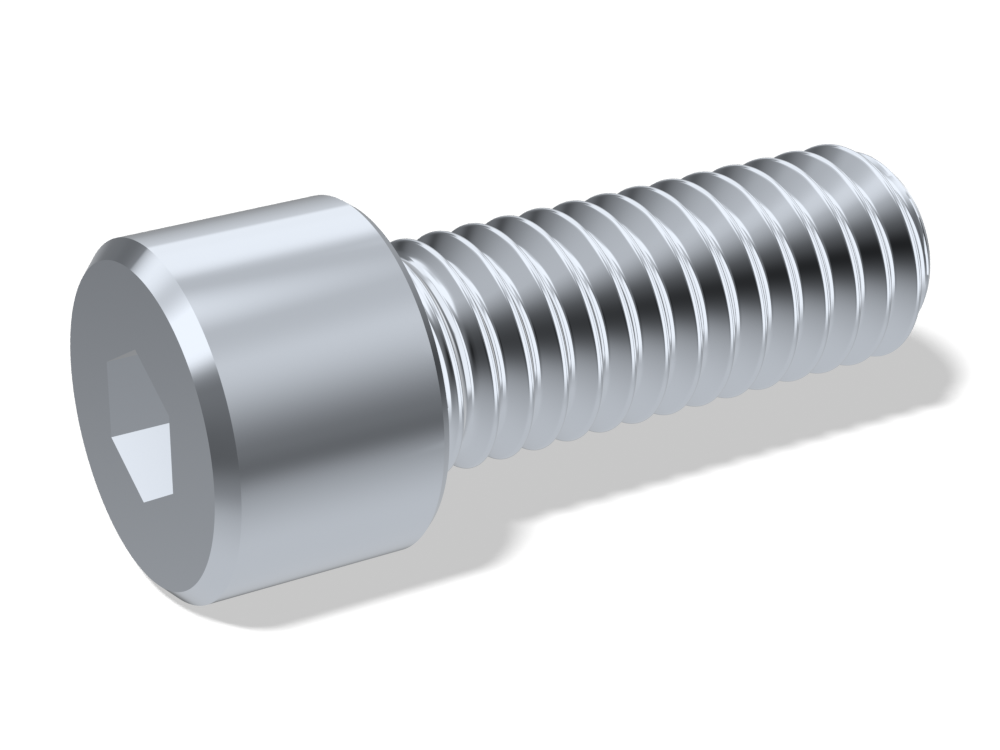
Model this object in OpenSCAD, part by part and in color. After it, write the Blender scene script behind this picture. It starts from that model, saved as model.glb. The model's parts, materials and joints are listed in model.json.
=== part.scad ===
// Socket head cap screw, 3/8-16 by 1 inch, standing on its tip with its head up.
// Sizes are in millimetres. The screw's axis is the Z axis, and the tip stands at Z = 0.

/* [Head] */
// Diameter of the head
head_d = 14.29; // [12:0.01:18]
// Height of the head
head_h = 9.53; // [8:0.01:14]
// Width of the 45 degree chamfer round the top face
head_chamfer = 0.72; // [0.2:0.01:1.2]
// Width of the chamfer round the underside, measured across the underside
under_chamfer = 0.27; // [0.1:0.01:0.6]
// Height of that chamfer, measured up the side of the head
under_chamfer_h = 0.37; // [0.1:0.01:0.8]

/* [Hex socket] */
// Width of the socket across its flats
socket_af = 5.56; // [4:0.01:7]
// Depth of the socket's flat walls
socket_depth = 5; // [3:0.1:6]
// Full angle of the drill point at the bottom of the socket
point_angle = 120; // [100:1:150]

/* [Thread] */
// Major diameter of the thread
thread_d = 9.525; // [8:0.005:11]
// Pitch of the thread
pitch = 1.5875; // [1.25:0.0005:2]
// Length from the underside of the head to the tip
length = 25.4; // [12:0.1:40]
// Length over which the thread's root climbs out towards the head
runout = 3.3; // [2:0.1:6]
// Diameter of the neck where it meets the head
neck_d = 9.2; // [8:0.05:9.4]
// Radius of the fillet between the neck and the head
neck_fillet = 0.3; // [0.2:0.05:0.8]

/* [Hidden] */

// Unified form: 60 degree flanks, a flat crest an eighth of the pitch wide and a round root.
flank_angle = 30;
crest_flat = pitch / 8;
root_radius = pitch / 8 / cos(flank_angle);
thread_depth = (pitch / 2 - crest_flat / 2 - root_radius * cos(flank_angle)) / tan(flank_angle)
    + root_radius * (1 - sin(flank_angle));
thread_r = thread_d / 2;
root_r = thread_r - thread_depth;
// The tip's chamfer runs in just past the root, so the end face is a full circle.
tip_chamfer = thread_depth + pitch / 64;
tip_r = thread_r - tip_chamfer;

head_r = head_d / 2;
neck_r = neck_d / 2;
top_z = length + head_h;

// Sides of a full circle, and what one solid reaches into the next.
round_sides = 128;
overlap = 0.5;

// The groove is swept as rings of points along its helix.
steps = 36;
root_segments = 4;
clear = pitch / 20;

// Outline of the groove, as distance along the axis from the root's middle and as radius.
groove_mouth = (pitch - crest_flat) / 2 + clear * tan(flank_angle);
root_span = 90 - flank_angle;
groove = concat(
    [[-groove_mouth, thread_r + clear]],
    [for (i = [0 : root_segments])
        let (a = -root_span + 2 * root_span * i / root_segments)
        [root_radius * sin(a), root_r + root_radius * (1 - cos(a))]],
    [[groove_mouth, thread_r + clear]]);

// The body of revolution of the head, chamfered above and below.
module head_blank() {
    rotate_extrude($fn = round_sides)
        polygon([
            [0, length],
            [head_r - under_chamfer, length],
            [head_r, length + under_chamfer_h],
            [head_r, top_z - head_chamfer],
            [head_r - head_chamfer, top_z],
            [0, top_z]]);
}

// The six-sided socket and the drill point below it.
module hex_socket() {
    flat_r = socket_af / 2;
    corner_r = flat_r / cos(30);
    point_h = flat_r / tan(point_angle / 2);
    floor_z = top_z - socket_depth;
    translate([0, 0, floor_z])
        cylinder(r = corner_r, h = socket_depth + overlap, $fn = 6);
    translate([0, 0, floor_z])
        cylinder(r = flat_r, h = overlap, $fn = round_sides);
    translate([0, 0, floor_z - point_h])
        cylinder(r1 = 0, r2 = flat_r, h = point_h, $fn = round_sides);
}

// The neck, which widens from the thread's root, and its fillet under the head.
module neck() {
    translate([0, 0, length - runout])
        cylinder(r1 = root_r, r2 = neck_r, h = runout, $fn = round_sides);
    rotate_extrude($fn = round_sides)
        translate([neck_r, length - neck_fillet])
            difference() {
                translate([-overlap, 0]) square([overlap + neck_fillet, neck_fillet]);
                translate([neck_fillet, 0]) circle(r = neck_fillet, $fn = round_sides);
            }
}

// The shank before threading, with its chamfered tip.
module shank_blank() {
    rotate_extrude($fn = round_sides)
        polygon([
            [0, 0],
            [tip_r, 0],
            [thread_r, tip_chamfer],
            [thread_r, length + overlap],
            [0, length + overlap]]);
}

// The helical groove between the threads, right-handed, run past both ends of the shank.
module thread_groove() {
    first_turn = floor((-groove_mouth - tip_chamfer) / pitch);
    last_turn = ceil((length + groove_mouth - tip_chamfer) / pitch);
    n = (last_turn - first_turn) * steps;
    k = len(groove);
    rings = [for (i = [0 : n], p = groove)
        let (turn = first_turn + i / steps)
        [p[1] * cos(360 * turn), p[1] * sin(360 * turn), tip_chamfer + pitch * turn + p[0]]];
    sides = [for (i = [0 : n - 1], j = [0 : k - 1])
        let (a = i * k + j, b = i * k + (j + 1) % k)
        each [[a, a + k, b], [b, a + k, b + k]]];
    near = [[for (j = [0 : k - 1]) j]];
    far = [[for (j = [0 : k - 1]) (n + 1) * k - 1 - j]];
    polyhedron(points = rings, faces = concat(sides, near, far), convexity = 20);
}

// One forged and rolled piece: the head, its socket, the neck and the threaded shank.
module cap_screw() {
    color([0.83, 0.87, 0.93])
        union() {
            difference() {
                head_blank();
                hex_socket();
            }
            neck();
            difference() {
                shank_blank();
                thread_groove();
            }
        }
}

cap_screw();
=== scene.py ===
import json
import math

import bpy
import numpy as np
from mathutils import Matrix, Vector


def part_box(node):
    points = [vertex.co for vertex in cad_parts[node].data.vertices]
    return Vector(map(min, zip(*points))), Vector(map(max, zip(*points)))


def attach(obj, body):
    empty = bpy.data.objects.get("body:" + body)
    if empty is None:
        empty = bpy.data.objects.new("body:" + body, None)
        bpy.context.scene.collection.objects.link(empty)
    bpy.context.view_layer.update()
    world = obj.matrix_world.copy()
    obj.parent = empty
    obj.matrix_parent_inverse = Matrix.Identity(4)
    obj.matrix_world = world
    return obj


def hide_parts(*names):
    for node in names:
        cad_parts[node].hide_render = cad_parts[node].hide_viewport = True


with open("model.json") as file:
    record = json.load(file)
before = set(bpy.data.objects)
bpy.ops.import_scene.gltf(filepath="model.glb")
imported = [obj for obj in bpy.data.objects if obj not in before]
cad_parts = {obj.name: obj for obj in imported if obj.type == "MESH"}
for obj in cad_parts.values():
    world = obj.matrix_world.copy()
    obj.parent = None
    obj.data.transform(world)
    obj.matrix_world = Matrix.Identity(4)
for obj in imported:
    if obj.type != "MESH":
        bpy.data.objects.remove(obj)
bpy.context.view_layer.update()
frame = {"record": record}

# The screw is one piece of steel wire, upset into a cylindrical head with a punched six-sided socket.
# Its thread is rolled: crests and roots are round, and the groove fades out smoothly under the head.
MM = 0.001
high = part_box("cap_screw")[1]
mounts = {mount["name"]: mount for mount in frame["record"]["mounts"]}
head_radius = high[0]
top = high[2]
underside = mounts["bearing_face"]["pos_m"][2]
head_chamfer = 0.72 * MM
under_chamfer = 0.27 * MM
under_chamfer_height = 0.37 * MM
socket_flat = 5.56 / 2 * MM
socket_depth = 5.0 * MM
point_slope = math.radians(30)
socket_point = socket_flat * math.tan(point_slope)

thread_radius = mounts["thread"]["dims"]["r_mm"] * MM
pitch = 1.5875 * MM
flank = math.radians(30)
crest_flat = pitch / 8
crest_round = 0.165 * MM
root_round = pitch / 8 / math.cos(flank)
thread_depth = (pitch / 2 - crest_flat / 2 - root_round * math.cos(flank)) / math.tan(flank)
thread_depth += root_round * (1 - math.sin(flank))
root_radius = thread_radius - thread_depth
tip_chamfer = thread_depth + pitch / 64
tip_rim = 3.66 * MM
tip_slope = 0.92
tip_blend = 0.2 * MM
runout = 2.8 * MM
neck_radius = 4.6 * MM
neck_blend = 0.45 * MM
least_blend = 0.01 * MM
neck_fillet = 0.3 * MM

columns = 168
root_steps = 4
side_points = 6
crest_steps = 5
head_loops = 5
weld = 1e-4 * MM
sharp_edge = math.radians(28)
turn = 2 * math.pi
column_angle = turn * np.arange(columns) / columns


def arc(centre, radius, start, end, steps):
    """Points centre + radius (sin a, cos a), where a runs evenly from start to end degrees."""
    a = np.radians(np.linspace(start, end, steps + 1))
    return np.stack([centre[0] + radius * np.sin(a), centre[1] + radius * np.cos(a)], 1)


def thread_outline():
    """One pitch of the thread from root to root, as distance along the axis and as radius.

    Half the root's arc, a straight flank 30 degrees from square to the axis, and the crest's rounded
    corner. Then the same in reverse. Points close to the flank's ends keep its shading flat.
    """
    root = arc((0, root_radius + root_round), root_round, 180, 120, root_steps)
    corner_x = pitch / 2 - crest_flat / 2 + crest_round * math.tan(flank)
    corner = arc((corner_x, thread_radius - crest_round), crest_round, -60, 0, crest_steps)
    side = root[-1] + (corner[0] - root[-1]) * np.linspace(0.05, 0.95, side_points)[:, None]
    half = np.concatenate([root, side, corner, [[pitch / 2, thread_radius]]])
    back = half[-2:0:-1] * [-1, 1] + [pitch, 0]
    return np.concatenate([half, back])


def soft_min(a, b, width):
    """The smaller of a and b, rounded off where they differ by less than width."""
    share = np.clip(0.5 + 0.5 * (b - a) / width, 0, 1)
    return b * (1 - share) + a * share - width * share * (1 - share)


def shank_radius(z, angle):
    """Radius of the threaded shank at a height and an angle round the axis.

    The thread's outline climbs one pitch in a turn. The neck, a parabola that widens towards the
    head, holds it out, and a chamfer holds it in at the tip.
    """
    outline = np.concatenate([thread_outline(), [[pitch, root_radius]]])
    along = np.mod(z - tip_chamfer - pitch * angle / turn, pitch)
    thread = np.interp(along, outline[:, 0], outline[:, 1])
    neck = neck_radius - (neck_radius - root_radius) * ((underside - z) / runout) ** 2
    blend = np.clip(thread_radius - neck, least_blend, neck_blend)
    held_out = -soft_min(-thread, -neck, blend)
    return soft_min(held_out, tip_rim + z * tip_slope, tip_blend)


def around(radius, z):
    """Points on a ring of radius, which may differ from column to column, at the height z."""
    x = radius * np.cos(column_angle)
    y = radius * np.sin(column_angle)
    return np.stack([x, y, z + 0 * column_angle], -1)


def shank_surface():
    """Vertices and quads of the shank, on a grid of columns round the axis and stations along it.

    A station climbs one pitch in a turn, so the crests and roots run along the grid's lines. On the
    fillet a station is an arc length. Stations past the tip or the fillet's end stay there, so the
    faces between them shrink to nothing.
    """
    outline = thread_outline()
    count = len(outline)
    pitches = np.arange(-2, math.ceil(underside / pitch) + 1)
    station = tip_chamfer + (outline[:, 0] + pitch * pitches[:, None]).ravel()
    z = station[:, None] + pitch * column_angle / turn
    fillet_start = underside - neck_fillet
    bend = np.clip((z - fillet_start) / neck_fillet, 0, math.pi / 2)
    z = np.where(bend > 0, fillet_start + neck_fillet * np.sin(bend), np.maximum(z, 0))
    radius = shank_radius(z, column_angle)
    fillet = neck_radius + neck_fillet * (1 - np.cos(bend))
    radius = np.where(bend > 0, np.maximum(radius, fillet), radius)
    index = np.arange(z.size).reshape(z.shape)
    rows = len(station) - count - 1
    own = index[:rows]
    # the last column's right-hand neighbour is the first column, one pitch further along
    right = np.concatenate([own[:, 1:], index[count : count + rows, :1]], 1)
    quads = np.stack([own, right, right + columns, own + columns], 2)
    return around(radius, z).reshape(-1, 3), quads.reshape(-1, 4)


def revolved(rings):
    """Vertices and quads through rings, each a height and a radius, which may differ by column."""
    points = np.stack([around(radius, z) for z, radius in rings])
    index = np.arange(len(rings) * columns).reshape(len(rings), columns)
    right = np.roll(index, -1, 1)
    quads = np.stack([index[:-1], right[:-1], right[1:], index[1:]], 2)
    return points.reshape(-1, 3), quads.reshape(-1, 4)


def head_rings():
    """Rings out under the head from the fillet, up its side, in over its top and down the socket.

    The socket's radius is its flat's distance over the cosine of the angle from that flat's middle.
    """
    hexagon = socket_flat / np.cos(np.mod(column_angle, turn / 6) - turn / 12)
    face_radius = head_radius - head_chamfer
    floor = top - socket_depth
    side_z = np.linspace(underside + under_chamfer_height, top - head_chamfer, head_loops)
    shares = np.linspace(0, 1, head_loops)
    rings = [(underside, neck_radius + neck_fillet), (underside, head_radius - under_chamfer)]
    rings += [(z, head_radius) for z in side_z]
    rings += [(top, face_radius + (hexagon - face_radius) * share) for share in shares]
    rings += [(z, hexagon) for z in np.linspace(top, floor, head_loops)[1:]]
    rings += [(floor - socket_point * share, socket_flat * (1 - share)) for share in shares]
    return rings


def joined(parts):
    """One closed surface from several. Equal points become one, and faces without area are dropped."""
    starts = np.cumsum([0] + [len(points) for points, quads in parts])
    quads = np.concatenate([quads + start for (points, quads), start in zip(parts, starts)])
    points = np.concatenate([points for points, quads in parts])
    steps = np.round(points / weld).astype(np.int64)
    first, same = np.unique(steps, axis=0, return_index=True, return_inverse=True)[1:]
    quads = same.reshape(-1)[quads]
    triangles = np.concatenate([quads[:, [0, 1, 2]], quads[:, [0, 2, 3]]])
    a, b, c = triangles.T
    return points[first], triangles[(a != b) & (b != c) & (a != c)]


rim = shank_radius(np.zeros(columns), column_angle)
tip_rings = [(0.0, rim * share) for share in (0, 0.5, 1)]
points, triangles = joined([revolved(tip_rings), shank_surface(), revolved(head_rings())])
mesh = bpy.data.meshes.new("cap_screw_polished")
mesh.from_pydata(points, [], triangles)
mesh.validate()
mesh.shade_smooth()
mesh.set_sharp_from_angle(angle=sharp_edge)
screw = bpy.data.objects.new("cap_screw_polished", mesh)
bpy.context.scene.collection.objects.link(screw)


class Signal:
    """An output socket of a node. Arithmetic on it adds Math nodes to its tree."""

    def __init__(self, socket):
        self.socket = socket

    @staticmethod
    def add(tree, kind, settings, inputs, output=0):
        """Adds a node, applies its settings, and sets or links its inputs by name or number."""
        node = tree.nodes.new(kind)
        for name, value in settings.items():
            setattr(node, name, value)
        for name, value in inputs.items():
            if isinstance(value, Signal):
                tree.links.new(value.socket, node.inputs[name])
            else:
                node.inputs[name].default_value = value
        return Signal(node.outputs[output]) if node.outputs else None

    def beside(self, name):
        """Another output of the same node."""
        return Signal(self.socket.node.outputs[name])

    def math(self, operation, *others):
        """A Math node with this signal as its first input."""
        inputs = dict(enumerate((self, *others)))
        return Signal.add(self.socket.id_data, "ShaderNodeMath", {"operation": operation}, inputs)

    def __add__(self, other):
        return self.math("ADD", other)

    def __sub__(self, other):
        return self.math("SUBTRACT", other)

    def __rsub__(self, other):
        return self * -1.0 + other

    def __mul__(self, other):
        return self.math("MULTIPLY", other)

    def __truediv__(self, other):
        return self.math("DIVIDE", other)

    __radd__ = __add__
    __rmul__ = __mul__

    def step(self, start, end):
        """0 at start and 1 at end, with a smooth step between. End may be below start."""
        bounds = (start, end, 0.0, 1.0) if start < end else (end, start, 1.0, 0.0)
        inputs = dict(zip(("From Min", "From Max", "To Min", "To Max"), bounds), Value=self)
        settings = {"interpolation_type": "SMOOTHSTEP"}
        return Signal.add(self.socket.id_data, "ShaderNodeMapRange", settings, inputs)

    def band(self, start, full_from, full_to, end):
        """1 between the two middle values and 0 outside the other two, with smooth steps between."""
        return self.step(start, full_from) * self.step(end, full_to)

    def bell(self, centre, width):
        """1 at centre, and about a third at width to each side."""
        offset = (self - centre) / width
        return (offset * offset * -1.0).math("EXPONENT")

    def towards(self, level, share):
        """Moves to level by share."""
        return self + (level - self) * share


# The steel is polished bright all over, with no marks. A fine haze of buffing, in patches of a
# millimetre or so, keeps it from being a perfect mirror.
steel_colour = (0.83, 0.87, 0.93, 1)
haze_scale = 700.0
haze_detail = 3.0
least_roughness = 0.02
haze_roughness = 0.03
steel = bpy.data.materials.new("polished_steel")
steel.use_nodes = True
tree = steel.node_tree
shader = tree.nodes["Principled BSDF"]
shader.inputs["Base Color"].default_value = steel_colour
shader.inputs["Metallic"].default_value = 1.0
place = Signal.add(tree, "ShaderNodeTexCoord", {}, {}, "Object")
haze_inputs = {"Vector": place, "Scale": haze_scale, "Detail": haze_detail}
haze = Signal.add(tree, "ShaderNodeTexNoise", {}, haze_inputs)
roughness = haze * haze_roughness + least_roughness
tree.links.new(roughness.socket, shader.inputs["Roughness"])
mesh.materials.append(steel)
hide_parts("cap_screw")
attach(screw, "root")
# the polish mirrors the studio alone, as in the photograph, and not the screw's own turns
screw.visible_glossy = False

# The stage is two sheets of white card. The tip stands on one. The other is beside the head, and is
# the ground that the screw seems to lie on in the photograph. From behind neither can be seen.
shade_level = 0.571
floor_white = 0.95
side_white = 0.55
reach = 0.6
gap = 0.02 * MM


def stage_card(name, corners, white):
    """A flat sheet through four corners. It glows at the shadow's level, and the lamp adds to that."""
    card_mesh = bpy.data.meshes.new(name)
    card_mesh.from_pydata(corners, [], [(0, 1, 2, 3)])
    card = bpy.data.objects.new(name, card_mesh)
    bpy.context.scene.collection.objects.link(card)
    card.visible_glossy = False
    card.visible_diffuse = False
    card.visible_shadow = False
    paint = bpy.data.materials.new(name)
    paint.use_nodes = True
    tree = paint.node_tree
    tree.nodes.clear()
    glow = Signal.add(tree, "ShaderNodeEmission", {}, {"Strength": shade_level})
    matt = Signal.add(tree, "ShaderNodeBsdfDiffuse", {}, {"Color": (white, white, white, 1)})
    front = Signal.add(tree, "ShaderNodeAddShader", {}, {0: glow, 1: matt})
    clear = Signal.add(tree, "ShaderNodeBsdfTransparent", {}, {})
    behind = Signal.add(tree, "ShaderNodeNewGeometry", {}, {}, "Backfacing")
    seen = Signal.add(tree, "ShaderNodeMixShader", {}, {"Fac": behind, 1: front, 2: clear})
    Signal.add(tree, "ShaderNodeOutputMaterial", {}, {"Surface": seen})
    card_mesh.materials.append(paint)


side = -head_radius - gap
# the floor card starts past the axis, because closer in it would show a strip of shadow by the tip
edge = 0.8 * MM
floor_corners = [
    (edge, -reach, -gap),
    (reach, -reach, -gap),
    (reach, reach, -gap),
    (edge, reach, -gap),
]
stage_card("floor_card", floor_corners, floor_white)
side_corners = [
    (side, -reach, -reach),
    (side, reach, -reach),
    (side, reach, reach),
    (side, -reach, reach),
]
stage_card("side_card", side_corners, side_white)

# One lamp, far off above and behind the camera, throws the shadow. It is just wide enough to soften
# the shadow's edge, and the steel doesn't mirror it.
lamp_direction = Vector((-1.0, 0.34, -0.58))
lamp = bpy.data.lights.new("far_lamp", "SUN")
lamp.energy = 3.5
lamp.angle = math.radians(8)
far_lamp = bpy.data.objects.new("far_lamp", lamp)
bpy.context.scene.collection.objects.link(far_lamp)
far_lamp.matrix_world = lamp_direction.to_track_quat("-Z", "Y").to_matrix().to_4x4()
far_lamp.visible_glossy = False

# The studio is a pale room with a dark horizon. Lamps stand over the head's side, behind the screw,
# beside the camera and overhead, and a window is towards the tip. The camera sees the room white,
# and the steel mirrors it. Places in it are in degrees.
world = bpy.data.worlds.new("studio")
bpy.context.scene.world = world
world.use_nodes = True
room = world.node_tree
room.nodes.clear()
look = Signal.add(room, "ShaderNodeTexCoord", {}, {}, "Generated")
up = Signal.add(room, "ShaderNodeSeparateXYZ", {}, {0: look}, "X")
away = up.beside("Y")
along = up.beside("Z")
degrees = 180 / math.pi
# bearing round the upright of the photograph: 0 towards the camera, 90 towards the tip
bearing = (along * -1.0).math("ARCTAN2", away * -1.0) * degrees
# the same, counted from -360 to 0, so that it runs on behind the screw
wound = bearing - bearing.step(-0.01, 0.01) * 360
height = up.math("ARCSINE") * degrees

# the pale walls, darker at the horizon and past the head
left = wound.step(-196, -172) * height.step(62, 42)
light = 0.194 + height.step(2, -62) * 0.392 - height.step(45, 60) * 0.104
light += height.step(-2, 46) * (1 - left) * 0.477
light += wound.band(-265, -213, -192, -173) * height.band(-39, -26, 20, 45) * 0.285
sweep = (height + (wound + 138) * 0.66).step(-2, 43)
cut = (height - wound - 96).step(-6, 23)
light += left * sweep.math("MINIMUM", cut) * 0.378
# a dark band just below the horizon, and the darkest spots in it
light *= 1 - height.bell(-13, 9.5) * 0.376
light *= 1 - bearing.bell(-81, 15) * height.bell(-4.5, 13) * 0.89
light *= 1 - bearing.bell(-157, 6.3) * height.bell(2.2, 8.8) * 0.65
light *= 1 - wound.bell(-189, 11) * height.bell(-1.7, 6.7) * 0.46
light *= 1 - bearing.bell(96, 32) * height.bell(-6.6, 9.4) * 0.57
light *= 1 - bearing.bell(160, 16) * height.bell(-34, 9) * 0.6
light *= 1 - bearing.bell(-155, 24) * height.bell(-21, 9) * 0.16
light *= 1 - bearing.bell(-66, 12) * height.bell(-26, 8) * 0.22
light *= 1 - bearing.bell(-167, 8) * height.bell(12, 9) * 0.15
# the lamp over the head's side, dimmer low in its middle
rise = height + bearing.bell(-100, 10) * 4 - bearing.bell(-122, 10) * 3.2
key = wound.band(-156.7, -154.7, -85.2, -75.5) * rise.step(18, 30.4)
dim = bearing.bell(-123, 17) * height.step(50, 38) * 0.67 + bearing.step(-130, -150) * 0.27
light = light.towards((1.36 - dim).math("MINIMUM", 1.09), key)
# the lamp behind, and the wall that it lights
light = light.towards(0.98, bearing.band(125, 139, 158, 166) * height.band(20, 24.5, 44.5, 61))
light = light.towards(1.0, wound.band(-225, -210, -150, -140) * height.step(30, 38))
# the upright lamp beside the camera
light = light.towards(1.06, bearing.band(-52, -44, 18, 22) * height.band(-50, -20, 50, 62))
# the window towards the tip, wider higher up, and its glint on the ground
over = (height - 20).math("MAXIMUM", 0.0)
window = (bearing - over * over * 0.02).step(29, 31.5) * height.step(60, 52)
wide = bearing.step(92, 78).math("MAXIMUM", height.step(10, 17) * bearing.step(130, 118))
light = light.towards(1.0, window * wide * height.step(-30, -18))
light = light.towards(1.0, bearing.bell(130, 9) * height.bell(-13, 5))
# the lamp overhead
light = light.towards(1.05, height.step(61.5, 73))

# the room is in the steel's mirror alone: the camera sees white, and the cards get no light from it
room_tint = (0.955, 0.975, 1.0)
first_look = Signal.add(room, "ShaderNodeLightPath", {}, {}, "Is Camera Ray")
mirrored = 1 - first_look.beside("Diffuse Depth").math("MINIMUM", 1.0)
scaled = {0: room_tint, "Scale": light * mirrored}
tinted = Signal.add(room, "ShaderNodeVectorMath", {"operation": "SCALE"}, scaled)
either = {0: first_look, 6: tinted, 7: (1, 1, 1, 1)}
shown = Signal.add(room, "ShaderNodeMix", {"data_type": "RGBA"}, either, 2)
sky = Signal.add(room, "ShaderNodeBackground", {}, {"Color": shown})
Signal.add(room, "ShaderNodeOutputWorld", {}, {"Surface": sky})

# The camera stands where the photograph was taken from. It is turned on its side, so the screw's +X
# side is up in the picture and the screw lies, as it does in the photograph.
camera_place = Vector((48.37, -92.11, 74.54)) * MM
camera_aim = Vector((-1.65, 0.0, 19.05)) * MM
forward = (camera_aim - camera_place).normalized()
right = forward.cross(Vector((1, 0, 0))).normalized()
above = right.cross(forward)
camera_data = bpy.data.cameras.new("camera")
camera_data.lens = 105.42
camera_data.sensor_width = 36
camera_data.clip_start = 0.005
camera_data.clip_end = 5
camera = bpy.data.objects.new("camera", camera_data)
bpy.context.scene.collection.objects.link(camera)
facing = Matrix((right, above, -forward)).transposed().to_4x4()
camera.matrix_world = Matrix.Translation(camera_place) @ facing
bpy.context.scene.camera = camera
bpy.context.scene.view_settings.view_transform = "Standard"
